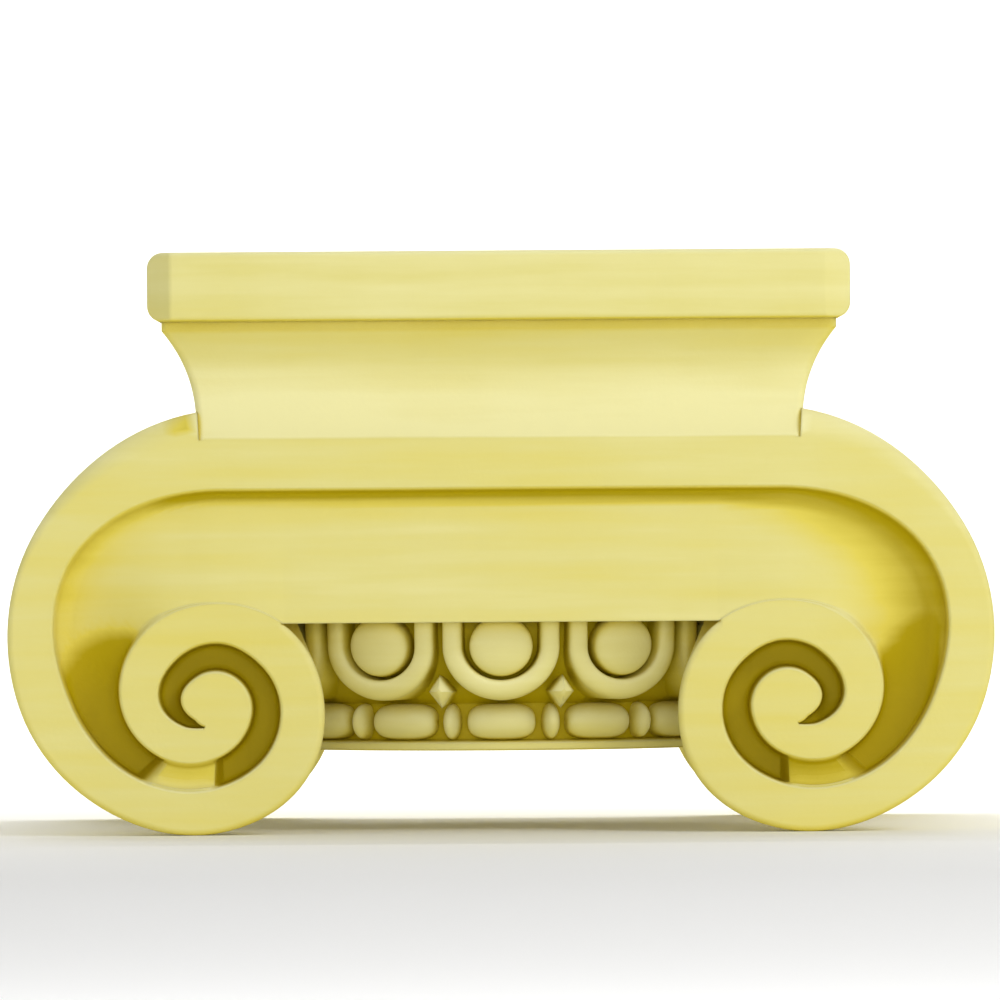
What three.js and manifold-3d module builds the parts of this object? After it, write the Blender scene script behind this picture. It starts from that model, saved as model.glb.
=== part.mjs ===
// Ionic capital cast in one piece. Millimetres, Z up, the front faces -Y.
// The origin is at the middle of the footprint, on the level of the volute bottoms.

import * as THREE from 'three';
import { mergeVertices } from 'three/addons/utils/BufferGeometryUtils.js';
import Module from 'manifold-3d';

const wasm = await Module();
wasm.setup();

// Driving sizes of the whole
const overallWidth = 500;
const capitalHeight = 295;
const faceDepth = 330; // front volute face to back volute face

// Abacus and the concave neck below it
const abacusWidth = 356;
const abacusHeight = 35;
const abacusCant = 12; // corner cut, measured along either side
const abacusArris = 2.5; // softened top and bottom edge of the front and back
const abacusEndRound = 8; // the same at the ends
const quirkHeight = 4.5;
const quirkInset = 7;
const neckHeight = 55.5;
const neckWaistWidth = 307; // across the sides, where the neck lands on the bolsters
const neckWaistDepth = 308; // front to back at the throat
const neckTopDepth = 320; // front to back below the abacus
const neckThroatShare = 0.38; // how far down the neck the throat lies
const neckCant = 2.5;

// Straight canal between the volutes
const canalFootDrop = 10.515; // from the top of the volute's inner turn down to the canal's foot
const canalDepth = 8.5;
const canalLipDepth = 1;

// Channel of the volutes and the edge of their faces
const channelDepth = 24;
const saddleDepth = 8; // shallow place at the bottom of the outer turn
const channelTaper = 26; // degrees over which the channel's inner end narrows to a point
const channelEndDepth = 15;
const wallDraft = 1.2;
const rimRound = 3;
const shoulderRound = 14.5; // where the face ends below the rounded top of the bolster

// Bolsters from the front volutes to the back ones
const voluteFaceThickness = 16;
const bolsterPinch = 0.66; // size of the bolster at mid-depth against its ends
const bolsterCurve = 2.1;

// Echinus: eggs, shells and darts
const unitCount = 14;
const echinusRadius = 149; // to the face of the eggs
const echinusHeight = 42;
const carvingFall = 6; // how much smaller the carved face is at the foot
const carvingRelief = 14;
const eggWidth = 34;
const eggHeight = 31;
const shellWidth = 62;
const shellHeight = 55;
const shellBand = 10.4;
const shellRise = 2; // lowest point of a shell above the foot of the echinus
const shellSetback = 1.2; // from the face of the eggs
const dartWidth = 13.5;
const dartHeight = 17;
const dartSetback = 2;

// Astragal: beads and reels over a fillet
const astragalHeight = 24;
const beadRadius = 121; // to the face of the beads
const beadThickness = 18.6;
const longBeadLength = 37;
const smallBeadLength = 9.5;
const filletHeight = 4.5;
const filletInset = 4;

// Reach of the ribbon's edges from the eye, as shares of the volute height, at each eighth
// of a turn. The turn starts toward the middle of the capital and climbs over the top.
const firstAngle = 45;
const outerEdge = [
  0.672, 0.686, 0.592, 0.474, 0.37, 0.314, 0.283, 0.25, 0.238, 0.229,
  0.238, 0.231, 0.191, 0.137, 0.098, 0.078, 0.068, 0.068, 0.075, 0.087,
  0.07, 0.058,
];
const innerEdge = [
  0.5, 0.495, 0.479, 0.351, 0.264, 0.206, 0.172, 0.146, 0.13, 0.134,
  0.137, 0.139, 0.094, 0.064,
];

// Levels from the rest plane up
const abacusFoot = capitalHeight - abacusHeight;
const neckTop = abacusFoot - quirkHeight;
const bandTop = neckTop - neckHeight;
const voluteHeight = bandTop + shoulderRound;
const halfFace = faceDepth / 2;

const rad = THREE.MathUtils.degToRad;

// Smooth curve through evenly spaced values.
function throughValues(values, start, step, at) {
  const place = THREE.MathUtils.clamp((at - start) / step, 0, values.length - 1);
  const first = Math.min(Math.floor(place), values.length - 2);
  const t = place - first;
  const a = values[Math.max(first - 1, 0)];
  const b = values[first];
  const c = values[first + 1];
  const d = values[Math.min(first + 2, values.length - 1)];
  const slope = (c - a) / 2;
  const nextSlope = (d - b) / 2;
  return b + slope * t + (3 * (c - b) - 2 * slope - nextSlope) * t ** 2
    + (2 * (b - c) + slope + nextSlope) * t ** 3;
}

// Value that eases from one marked angle to the next.
function easedAt(marks, at) {
  let value = marks[0][1];
  for (let i = 1; i < marks.length; i++) {
    const [from, low] = marks[i - 1];
    const [to, high] = marks[i];
    if (at >= from) value = low + (high - low) * THREE.MathUtils.smoothstep(at, from, to);
  }
  return value;
}

const outerReach = (turn) => voluteHeight * throughValues(outerEdge, firstAngle, 45, turn);
const innerReach = (turn) => voluteHeight * throughValues(innerEdge, firstAngle, 45, turn);

// Stations of the outline and of the channel, in degrees of the turn
const outlineStart = 93; // stations are counted from here, beside the foot of the neck
const outlineStep = 12;
const channelStep = 12;
const canalStations = 3;

// The eye stands where the outer edge touches the rest plane and the overall width.
let eyeHeight = 0;
let outwardReach = 0;
for (let turn = outlineStart; turn <= 360; turn += outlineStep) {
  eyeHeight = Math.max(eyeHeight, -outerReach(turn) * Math.sin(rad(turn)));
  outwardReach = Math.max(outwardReach, -outerReach(turn) * Math.cos(rad(turn)));
}
const eyeOffset = overallWidth / 2 - outwardReach;

// Point of the right-hand volute, x outward from the middle of the capital.
function volutePoint(turn, reach) {
  return [eyeOffset - reach * Math.cos(rad(turn)), eyeHeight + reach * Math.sin(rad(turn))];
}

const canalTop = volutePoint(90, innerReach(90))[1];
const canalFoot = volutePoint(450, outerReach(450))[1] - canalFootDrop;
const echinusFoot = canalFoot - echinusHeight;
const seatLevel = echinusFoot - astragalHeight;

// Turn at which a point running along the outer edge stops being short of a place.
function turnWhere(isShort, from, to) {
  let low = from;
  let high = to;
  for (let i = 0; i < 40; i++) {
    const middle = (low + high) / 2;
    if (isShort(volutePoint(middle, outerReach(middle)))) low = middle;
    else high = middle;
  }
  return high;
}

const shoulderTurn = turnWhere(([x]) => x < neckWaistWidth / 2 - 0.4, 70, 130);
const footTurn = turnWhere(([, z]) => z < canalFoot, 380, 450);
const outlineTurns = [shoulderTurn];
for (let turn = outlineStart; turn < footTurn - outlineStep / 3; turn += outlineStep) {
  if (turn > shoulderTurn + outlineStep / 3) outlineTurns.push(turn);
}
outlineTurns.push(footTurn);

function toSolid(geometry) {
  const bare = new THREE.BufferGeometry();
  bare.setAttribute('position', geometry.getAttribute('position'));
  bare.setIndex(geometry.index);
  const merged = mergeVertices(bare, 1e-4);
  const corners = Array.from(merged.index.array);
  const faces = [];
  for (let i = 0; i < corners.length; i += 3) {
    const [a, b, c] = corners.slice(i, i + 3);
    if (a !== b && b !== c && c !== a) faces.push([a, b, c]);
  }
  const solidFrom = (triangles) => new wasm.Manifold(new wasm.Mesh({
    numProp: 3,
    vertProperties: new Float32Array(merged.getAttribute('position').array),
    triVerts: new Uint32Array(triangles.flat()),
  }));
  const solid = solidFrom(faces);
  return solid.volume() > 0 ? solid : solidFrom(faces.map(([a, b, c]) => [a, c, b]));
}

// Triangles that close a ring, wound the way the ring runs.
function capOf(ring) {
  const normal = new THREE.Vector3();
  ring.forEach((point, i) => {
    normal.add(new THREE.Vector3().crossVectors(point, ring[(i + 1) % ring.length]));
  });
  normal.normalize();
  const aside = Math.abs(normal.y) > 0.7 ? new THREE.Vector3(1, 0, 0) : new THREE.Vector3(0, 1, 0);
  const across = new THREE.Vector3().crossVectors(aside, normal).normalize();
  const up = new THREE.Vector3().crossVectors(normal, across);
  const flat = ring.map((point) => new THREE.Vector2(point.dot(across), point.dot(up)));
  return THREE.ShapeUtils.triangulateShape(flat, []).map(([a, b, c]) => {
    const turned = THREE.ShapeUtils.area([flat[a], flat[b], flat[c]]) < 0;
    return turned ? [a, c, b] : [a, b, c];
  });
}

// Closed solid through rings of the same number of points, capped at both ends.
function loft(rings) {
  const count = rings[0].length;
  const faces = [];
  for (let ring = 0; ring < rings.length - 1; ring++) {
    for (let i = 0; i < count; i++) {
      const a = ring * count + i;
      const b = ring * count + ((i + 1) % count);
      faces.push(a, b, b + count, a, b + count, a + count);
    }
  }
  const last = (rings.length - 1) * count;
  for (const [a, b, c] of capOf(rings[0])) faces.push(a, c, b);
  for (const [a, b, c] of capOf(rings[rings.length - 1])) faces.push(last + a, last + b, last + c);
  const points = rings.flat().flatMap((point) => [point.x, point.y, point.z]);
  const geometry = new THREE.BufferGeometry();
  geometry.setAttribute('position', new THREE.Float32BufferAttribute(points, 3));
  geometry.setIndex(faces);
  return toSolid(geometry);
}

const atPoint = (x, y, z) => new THREE.Vector3(x, y, z);
const mirrored = (solid) => solid.mirror([1, 0, 0]);
const turnedRound = (solid) => solid.rotate([0, 0, 180]);

// Volutes and the bolster that joins the front one to the back one

const faceRound = (turn) => easedAt([[90, shoulderRound], [150, rimRound], [360, rimRound]], turn);

function bolsterSize(depth) {
  const free = halfFace - voluteFaceThickness;
  const share = Math.min(Math.abs(depth) / free, 1);
  return bolsterPinch + (1 - bolsterPinch) * share ** bolsterCurve;
}

function bolsterRing(depth, edge) {
  const size = bolsterSize(depth);
  const anchor = [neckWaistWidth / 2, voluteHeight];
  const ring = [];
  const place = (x, z, y) => {
    ring.push(atPoint(anchor[0] + (x - anchor[0]) * size, y, anchor[1] + (z - anchor[1]) * size));
  };
  for (const turn of outlineTurns) {
    const round = faceRound(turn);
    const inset = edge === null ? 0 : round * (1 - Math.sin(rad(edge)));
    const back = edge === null ? 0 : Math.min(round, 9) * (1 - Math.cos(rad(edge)));
    const [x, z] = volutePoint(turn, outerReach(turn) - inset);
    place(x, z, depth - Math.sign(depth) * back);
  }
  const inside = volutePoint(footTurn, outerReach(footTurn))[0];
  const level = (bandTop + canalTop) / 2;
  const y = ring[0].y;
  place(inside, level, y);
  place(neckWaistWidth / 2 - 1, level, y);
  return ring;
}

function bolster() {
  const rings = [];
  for (const edge of [0, 45, 90]) rings.push(bolsterRing(-halfFace, edge));
  const free = halfFace - voluteFaceThickness;
  for (const share of [-1, -0.84, -0.64, -0.3, 0.3, 0.64, 0.84, 1]) {
    rings.push(bolsterRing(share * free, null));
  }
  for (const edge of [90, 45, 0]) rings.push(bolsterRing(halfFace, edge));
  return loft(rings);
}

// Bar between the volutes, from the foot of the canal to the foot of the neck

function canalBar() {
  const inside = volutePoint(footTurn, outerReach(footTurn))[0];
  const outline = [
    [-inside, canalFoot], [inside, canalFoot],
    [neckWaistWidth / 2, (canalTop + canalFoot) / 2], [neckWaistWidth / 2, bandTop],
    [-neckWaistWidth / 2, bandTop], [-neckWaistWidth / 2, (canalTop + canalFoot) / 2],
  ];
  const rings = [halfFace, -halfFace].map((y) => outline.map(([x, z]) => atPoint(x, y, z)));
  return loft(rings);
}

// Cutter for the canal and the channel of both front volutes, swept from eye to eye

const pocketDepths = [
  [180, channelDepth], [222, channelDepth], [231, saddleDepth], [266, saddleDepth], [272, channelDepth],
  [540, channelDepth], [600, channelEndDepth],
];
const wallDepth = (turn) => easedAt([[90, canalDepth], [105, canalDepth + 1], ...pocketDepths], turn);
const heelDepth = (turn) => easedAt([[90, canalLipDepth], [110, canalLipDepth + 1], ...pocketDepths], turn);

function channelSection(high, low, highDepth, lowDepth) {
  const front = -halfFace;
  const open = front - 4;
  const [dx, dz] = [low[0] - high[0], low[1] - high[1]];
  const width = Math.hypot(dx, dz);
  const along = (distance, y) => atPoint(
    high[0] + (dx * distance) / width, y, high[1] + (dz * distance) / width,
  );
  const draft = Math.min(wallDraft, width * 0.25);
  const lowDraft = Math.min(draft, lowDepth * 0.3);
  const middle = highDepth + (lowDepth - highDepth) * 0.62;
  return [
    along(0, open), along(draft, front + highDepth), along(width * 0.55, front + middle),
    along(width - lowDraft, front + lowDepth), along(width, open),
  ];
}

function channelCutter() {
  const rings = [];
  const lastTurn = 604;
  const steps = Math.round((lastTurn - 90) / channelStep);
  for (let i = steps; i >= 0; i--) {
    const turn = 90 + ((lastTurn - 90) * i) / steps;
    const closing = (1 - Math.min((lastTurn - turn) / channelTaper + 0.2, 1)) / 2;
    const [inner, outer] = [innerReach(turn), outerReach(turn + 360)];
    const high = volutePoint(turn, inner + (outer - inner) * closing);
    const low = volutePoint(turn, outer + (inner - outer) * closing);
    rings.push(channelSection(high, low, wallDepth(turn), heelDepth(turn)));
  }
  const stops = [];
  for (let i = 1; i <= canalStations; i++) stops.push(450 - ((450 - footTurn) * i) / canalStations);
  for (const turn of stops) {
    const [x, z] = volutePoint(turn, outerReach(turn));
    rings.push(channelSection([x, canalTop], [x, z], canalDepth, canalLipDepth));
  }
  const inside = volutePoint(footTurn, outerReach(footTurn))[0];
  const foot = canalFoot - 1;
  rings.push(channelSection([inside - 1, canalTop], [inside - 1, foot], canalDepth, canalLipDepth));
  const other = rings.slice().reverse().map((ring) => ring.map((point) => atPoint(-point.x, point.y, point.z)));
  return loft([...rings, ...other]);
}

// Neck and abacus, one ring of eight corners at each level

function cantedRing(halfX, halfY, cant, z) {
  return [
    atPoint(halfX - cant, -halfY, z), atPoint(halfX, -halfY + cant, z),
    atPoint(halfX, halfY - cant, z), atPoint(halfX - cant, halfY, z),
    atPoint(-halfX + cant, halfY, z), atPoint(-halfX, halfY - cant, z),
    atPoint(-halfX, -halfY + cant, z), atPoint(-halfX + cant, -halfY, z),
  ];
}

function neckAndAbacus() {
  const halfAbacus = abacusWidth / 2;
  const shoulder = halfAbacus - quirkInset;
  const rings = [];
  rings.push(cantedRing(neckWaistWidth / 2 - 4, halfFace - 4, neckCant, bandTop - 8));
  const neckSteps = 8;
  for (let i = 0; i <= neckSteps; i++) {
    const down = 1 - i / neckSteps;
    const waist = neckWaistWidth / 2;
    const halfX = waist + (shoulder - waist) * (1 - down) ** 2.6;
    const throat = neckWaistDepth / 2;
    const rise = Math.max(neckThroatShare - down, 0) / neckThroatShare;
    const flare = Math.max(down - neckThroatShare, 0) / (1 - neckThroatShare);
    const halfY = throat + (neckTopDepth / 2 - throat) * rise ** 1.8 + (halfFace - throat) * flare ** 2.1;
    rings.push(cantedRing(halfX, halfY, neckCant, bandTop + neckHeight * (1 - down)));
  }
  rings.push(cantedRing(shoulder, neckTopDepth / 2, neckCant, abacusFoot));
  const ends = [[0, abacusArris], [abacusArris, 0], [abacusEndRound, 0]];
  const inset = (up) => abacusEndRound - Math.sqrt(up * (2 * abacusEndRound - up));
  const edge = (up, front, z) => {
    rings.push(cantedRing(halfAbacus - inset(up), halfAbacus - front, abacusCant - inset(up), z));
  };
  for (const [up, front] of ends) edge(up, front, abacusFoot + up);
  for (const [up, front] of ends.reverse()) edge(up, front, capitalHeight - up);
  return loft(rings);
}

// Echinus and astragal: turned core, then the carving set round it

const unitAngle = 360 / unitCount;
const groundRadius = echinusRadius - carvingRelief;

// Share of the fall at a height, along a quarter round from the top of the echinus to its foot
function fallenAt(z) {
  const down = THREE.MathUtils.clamp((canalFoot - z) / echinusHeight, 0, 1);
  return (1 - Math.sqrt(1 - (0.9 * down) ** 2)) / (1 - Math.sqrt(0.19));
}

const coreRadius = beadRadius - beadThickness * 0.62;
const filletRadius = beadRadius - filletInset;
const sunkRadius = coreRadius - 4; // the carving is rooted this deep
const groundAt = (z) => groundRadius - (groundRadius - coreRadius) * fallenAt(z);
const carvedFaceAt = (z) => echinusRadius - carvingFall * fallenAt(z);

function turnedCore() {
  const profile = [new THREE.Vector2(0, seatLevel), new THREE.Vector2(filletRadius, seatLevel)];
  profile.push(new THREE.Vector2(filletRadius, seatLevel + filletHeight));
  profile.push(new THREE.Vector2(coreRadius, seatLevel + filletHeight + 1));
  profile.push(new THREE.Vector2(coreRadius, echinusFoot));
  for (const share of [0.45, 1]) {
    const z = echinusFoot + echinusHeight * share;
    profile.push(new THREE.Vector2(groundAt(z), z));
  }
  profile.push(new THREE.Vector2(groundRadius, canalFoot + 8));
  profile.push(new THREE.Vector2(0, canalFoot + 8));
  const turned = new THREE.LatheGeometry(profile, unitCount * 2);
  turned.rotateX(Math.PI / 2);
  return toSolid(turned);
}

// Point round the echinus: across and up from the middle of a unit, at a radius
function roundEchinus(angle, across, z, radius) {
  const bearing = rad(angle - 90) + across / echinusRadius;
  return atPoint(radius * Math.cos(bearing), radius * Math.sin(bearing), z);
}

const carvingCentre = echinusFoot + shellRise + shellHeight / 2;

function egg(angle) {
  const rings = [];
  const around = 10;
  for (const [share, lift] of [[1, null], [1, 0.6], [0.8, 0.88], [0.35, 1]]) {
    const ring = [];
    for (let i = 0; i < around; i++) {
      const turn = (2 * Math.PI * i) / around;
      const across = (eggWidth / 2) * share * Math.cos(turn);
      const z = carvingCentre + (eggHeight / 2) * share * Math.sin(turn);
      const radius = lift === null ? sunkRadius : carvedFaceAt(z) - carvingRelief * (1 - lift);
      ring.push(roundEchinus(angle, across, z, radius));
    }
    rings.push(ring);
  }
  return loft(rings);
}

// Half round below, straight up into the foot of the canal above
function shell(angle) {
  const rings = [];
  const steps = 8;
  const station = (turn, lift) => {
    const spot = (inward, setback) => {
      const x = (shellWidth / 2 - inward) * Math.cos(turn);
      const z = carvingCentre + (shellHeight / 2 - inward) * Math.sin(turn) + lift;
      const radius = setback === null ? sunkRadius : carvedFaceAt(z) - setback;
      return roundEchinus(angle, x, z, radius);
    };
    const [shoulder, face] = [shellBand * 0.22, shellSetback];
    rings.push([spot(0, null), spot(0, face + 3), spot(shoulder, face),
      spot(shellBand - shoulder, face), spot(shellBand, face + 3), spot(shellBand, null)]);
  };
  const straight = canalFoot + 2 - carvingCentre;
  station(0, straight);
  for (let i = 0; i <= steps; i++) station(rad((-180 * i) / steps), 0);
  station(rad(-180), straight);
  return loft(rings);
}

function dart(angle) {
  const middle = echinusFoot + dartHeight / 2 - 2;
  const corners = [[dartWidth / 2, 0], [0, dartHeight / 2], [-dartWidth / 2, 0], [0, -dartHeight / 2]];
  const ring = (share, setback) => corners.map(([across, up]) => {
    const z = middle + up * share;
    const radius = setback === null ? sunkRadius : carvedFaceAt(z) - setback;
    return roundEchinus(angle, across * share, z, radius);
  });
  return loft([ring(0.45, null), ring(1, dartSetback + 5), ring(0.2, dartSetback)]);
}

// Bead lying along the astragal, its roundness given as shares of its length and thickness
function bead(angle, length, shape) {
  const rings = shape.map(([place, thick]) => {
    const bearing = rad(angle - 90) + (length * place) / 2 / beadRadius;
    const ring = [];
    for (const side of [-104, -62, -20, 20, 62, 104]) {
      const turn = rad(side);
      const radius = beadRadius - beadThickness / 2 + (beadThickness / 2) * thick * Math.cos(turn);
      const z = echinusFoot - beadThickness / 2 + (beadThickness / 2) * thick * Math.sin(turn);
      ring.push(atPoint(radius * Math.cos(bearing), radius * Math.sin(bearing), z));
    }
    return ring;
  });
  return loft(rings);
}

const longBead = [[-1, 0.5], [-0.7, 0.96], [0.7, 0.96], [1, 0.5]];
const smallBead = [[-1, 0.6], [0, 1], [1, 0.6]];

// The bolsters cover the echinus at the sides, where its ground is left plain.
function showsBetweenBolsters(angle) {
  return Math.abs(Math.cos(rad(angle))) > 0.45;
}

function capitalSolid() {
  const rightBolster = bolster();
  const cutter = channelCutter();
  let capital = rightBolster.add(mirrored(rightBolster)).add(canalBar());
  capital = capital.subtract(cutter).subtract(turnedRound(cutter));
  capital = capital.add(neckAndAbacus()).add(turnedCore());
  for (let unit = 0; unit < unitCount; unit++) {
    const angle = unit * unitAngle;
    const between = angle + unitAngle / 2;
    if (showsBetweenBolsters(angle)) capital = capital.add(egg(angle)).add(shell(angle));
    if (showsBetweenBolsters(between)) capital = capital.add(dart(between));
    capital = capital.add(bead(angle, longBeadLength, longBead));
    capital = capital.add(bead(between, smallBeadLength, smallBead));
  }
  return capital;
}

function meshOf(name, solid, material) {
  const { vertProperties, triVerts } = solid.getMesh();
  const geometry = new THREE.BufferGeometry();
  geometry.setAttribute('position', new THREE.BufferAttribute(vertProperties, 3));
  geometry.setIndex(new THREE.BufferAttribute(triVerts, 1));
  const faceted = geometry.toNonIndexed();
  faceted.computeVertexNormals();
  const mesh = new THREE.Mesh(faceted, material);
  mesh.name = name;
  return mesh;
}

const glazedPlaster = new THREE.MeshStandardMaterial({
  color: new THREE.Color().setRGB(225 / 255, 216 / 255, 136 / 255, THREE.SRGBColorSpace),
  roughness: 0.7,
  metalness: 0,
});

const group = new THREE.Group();
group.add(meshOf('capital', capitalSolid(), glazedPlaster));
export default group;
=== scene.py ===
import math

import bmesh
import bpy
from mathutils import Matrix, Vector


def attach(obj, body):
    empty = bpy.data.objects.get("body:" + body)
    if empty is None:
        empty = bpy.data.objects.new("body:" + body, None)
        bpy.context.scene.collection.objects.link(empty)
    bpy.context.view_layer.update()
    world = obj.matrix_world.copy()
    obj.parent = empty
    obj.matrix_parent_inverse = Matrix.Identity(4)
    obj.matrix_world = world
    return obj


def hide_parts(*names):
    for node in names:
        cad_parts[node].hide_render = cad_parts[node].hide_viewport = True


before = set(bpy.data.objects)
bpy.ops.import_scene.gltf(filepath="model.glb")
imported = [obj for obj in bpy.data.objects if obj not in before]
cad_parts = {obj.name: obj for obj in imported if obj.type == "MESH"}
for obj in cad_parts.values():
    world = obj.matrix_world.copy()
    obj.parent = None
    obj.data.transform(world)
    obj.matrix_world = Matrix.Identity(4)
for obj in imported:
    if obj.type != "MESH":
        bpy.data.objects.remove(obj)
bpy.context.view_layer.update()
print("frame loaded")

# Lengths in the dictionaries are millimetres, heights are measured from the rest plane.

levels = {
    "abacusTop": 295.0,
    "abacusFoot": 260.0,
    "neckTop": 255.5,
    "bandTop": 200.0,
    "canalTop": 174.57,
    "canalFoot": 107.0,
    "echinusFoot": 65.0,
    "seat": 41.0,
}

volute = {
    "width": 500.0,
    "height": 214.5,
    "halfFace": 165.0,
    "faceThickness": 16.0,
    "pinch": 0.66,            # size of the bolster at mid-depth against its ends
    "pinchCurve": 2.1,
    "rimRound": 3.4,          # softened outer edge of the face
    "shoulderRound": 14.5,    # the same at the top, beside the neck
    "deepestRound": 9.0,      # how far back the softening may go
    "outlineStart": 93.0,     # stations are counted from here, beside the foot of the neck
    "outlineStep": 2.5,       # degrees between stations
    # reach of the ribbon's edges from the eye, as shares of the height, each eighth of a turn
    "firstAngle": 45.0,
    "outerEdge": [
        0.672, 0.686, 0.592, 0.474, 0.37, 0.314, 0.283, 0.25, 0.238, 0.229,
        0.238, 0.231, 0.191, 0.137, 0.098, 0.078, 0.068, 0.068, 0.075, 0.087,
        0.07, 0.058,
    ],
    "innerEdge": [
        0.5, 0.495, 0.479, 0.351, 0.264, 0.206, 0.172, 0.146, 0.13, 0.134,
        0.137, 0.139, 0.094, 0.064,
    ],
}

channel = {
    "lastTurn": 604.0,
    "step": 3.0,
    "draft": 1.2,
    "lip": 1.5,               # softened edge where the ribbon meets the channel
    "clear": 4.0,             # how far the shape to cut away stands out of the face
    "floorRound": 2.6,
    "floorHollow": 0.7,
    "footDrop": 1.4,          # the cut runs this far past the foot of the canal
    "taper": 26.0,            # degrees over which the inner end narrows to a point
    "point": 0.12,            # share of the width that is left there
    # depth along the outer wall and along the inner wall, by degrees of the turn
    "wallDepth": [
        (90, 8.5), (105, 9.5), (180, 24), (222, 24), (230, 6), (267, 6), (272, 24), (540, 24),
        (600, 15),
    ],
    "heelDepth": [
        (90, 1), (110, 2), (180, 24), (222, 24), (230, 5), (267, 5), (272, 24), (540, 24),
        (600, 15),
    ],
    # cove between the outer wall and the floor, wide where the canal turns down into the volute
    "wallCove": [
        (90, 2.6), (118, 7.5), (160, 8.5), (185, 2.6), (220, 2.6), (236, 5), (258, 5), (270, 2.6),
    ],
}

neck = {
    "waistWidth": 307.0,
    "waistDepth": 308.0,
    "topDepth": 320.0,
    "throatShare": 0.38,      # how far below its top it is thinnest, as a share of its height
    "sideCurve": 2.6,
    "topCurve": 1.8,          # above the thinnest place
    "footCurve": 2.1,         # below it
    "tuck": 4.0,              # how much narrower its hidden foot is
    "cant": 2.5,
    "abacusWidth": 356.0,
    "abacusCant": 12.0,
    "quirkInset": 7.0,
    "arris": 2.5,
    "upright": 1.6,           # softened upright edges
    "endRound": 8.0,
}

echinus = {
    "units": 14,
    "radius": 149.0,
    "fall": 6.0,              # how much smaller the carved face is at the foot
    "curl": 0.9,              # how much of a quarter round the fall follows
    "relief": 14.0,
    "rooted": 4.0,            # the carving starts this far inside the core
    "carvedWithin": 0.45,     # carved where the bearing's cosine is larger, straight ahead is 1
    "dartsWithin": 0.9,
    "egg": (34.0, 31.0),
    # share of the egg's width and share of the relief, from the ground to the middle of the face
    "eggDome": [
        (1, None), (1, 0.5), (0.985, 0.64), (0.95, 0.74), (0.88, 0.83), (0.76, 0.9), (0.6, 0.95),
        (0.4, 0.985), (0.2, 1), (0.06, 1),
    ],
    "shell": (62.0, 55.0),
    "shellBand": 10.4,
    "shellRise": 2.0,
    "shellSetback": 1.2,
    # share of the band's width from outside to inside, and how far below its crest
    "shellSection": [
        (0, None), (0, 3.4), (0.05, 1.9), (0.14, 0.8), (0.3, 0.2), (0.5, 0), (0.7, 0.2),
        (0.86, 0.8), (0.95, 1.9), (1, 3.4), (1, None),
    ],
    "dart": (13.5, 17.0),
    "dartSink": 2.0,          # its tip reaches this far below the echinus
    "dartSetback": 2.0,
    "dartOutline": [
        (1, 0), (0.54, 0.46), (0, 1), (-0.54, 0.46), (-1, 0), (-0.54, -0.46), (0, -1), (0.54, -0.46),
    ],
    "dartSteps": [(0.45, None), (1, 5), (0.8, 3), (0.5, 1.2), (0.2, 0.1)],
}

astragal = {
    "radius": 121.0,
    "thickness": 18.6,
    "longBead": 37.0,
    "longBlunt": 3.2,         # 2 is an ellipse, more is blunter
    "smallBead": 9.5,
    "smallBlunt": 2.0,
    "coreShare": 0.62,        # share of the thickness that stands out of the core
    "fillet": 4.5,
    "filletInset": 4.0,
    "filletRound": 0.8,
}


def throughValues(values, start, step, at):
    # smooth curve through evenly spaced values
    place = min(max((at - start) / step, 0), len(values) - 1)
    first = min(int(place), len(values) - 2)
    t = place - first
    a, b = values[max(first - 1, 0)], values[first]
    c, d = values[first + 1], values[min(first + 2, len(values) - 1)]
    slope, nextSlope = (c - a) / 2, (d - b) / 2
    return (b + slope * t + (3 * (c - b) - 2 * slope - nextSlope) * t ** 2
            + (2 * (b - c) + slope + nextSlope) * t ** 3)


def easedAt(marks, at):
    # value that eases from one marked angle to the next
    value = marks[0][1]
    for (start, low), (end, high) in zip(marks, marks[1:]):
        if at >= start:
            t = min((at - start) / (end - start), 1)
            value = low + (high - low) * t * t * (3 - 2 * t)
    return value


def sinDeg(angle):
    return math.sin(math.radians(angle))


def cosDeg(angle):
    return math.cos(math.radians(angle))


def angleSteps(start, end, step):
    count = max(1, round((end - start) / step))
    return [start + (end - start) * i / count for i in range(count + 1)]


def outerReach(turn):
    return volute["height"] * throughValues(volute["outerEdge"], volute["firstAngle"], 45, turn)


def innerReach(turn):
    return volute["height"] * throughValues(volute["innerEdge"], volute["firstAngle"], 45, turn)


# The eye stands where the outer edge touches the rest plane and the overall width.
firstTurns = angleSteps(volute["outlineStart"], 360, volute["outlineStep"] / 4)
eyeHeight = max(-outerReach(turn) * sinDeg(turn) for turn in firstTurns)
eyeOffset = volute["width"] / 2 - max(-outerReach(turn) * cosDeg(turn) for turn in firstTurns)


def volutePoint(turn, reach):
    return eyeOffset - reach * cosDeg(turn), eyeHeight + reach * sinDeg(turn)


def turnWhere(isShort, low, high):
    # turn at which a point running along the outer edge stops being short of a place
    for _ in range(40):
        middle = (low + high) / 2
        if isShort(*volutePoint(middle, outerReach(middle))):
            low = middle
        else:
            high = middle
    return high


footTurn = turnWhere(lambda x, z: z < levels["canalFoot"], 380.0, 450.0)
footInside = volutePoint(footTurn, outerReach(footTurn))[0]


def meshObject(name, points, faces):
    mesh = bpy.data.meshes.new(name)
    mesh.from_pydata([Vector(p) * 0.001 for p in points], [], faces)
    shape = bmesh.new()
    shape.from_mesh(mesh)
    bmesh.ops.remove_doubles(shape, verts=shape.verts, dist=1e-7)
    bmesh.ops.recalc_face_normals(shape, faces=shape.faces)
    bmesh.ops.triangulate(shape, faces=[f for f in shape.faces if len(f.verts) > 4])
    shape.to_mesh(mesh)
    shape.free()
    made = bpy.data.objects.new(name, mesh)
    bpy.context.scene.collection.objects.link(made)
    return made


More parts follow.
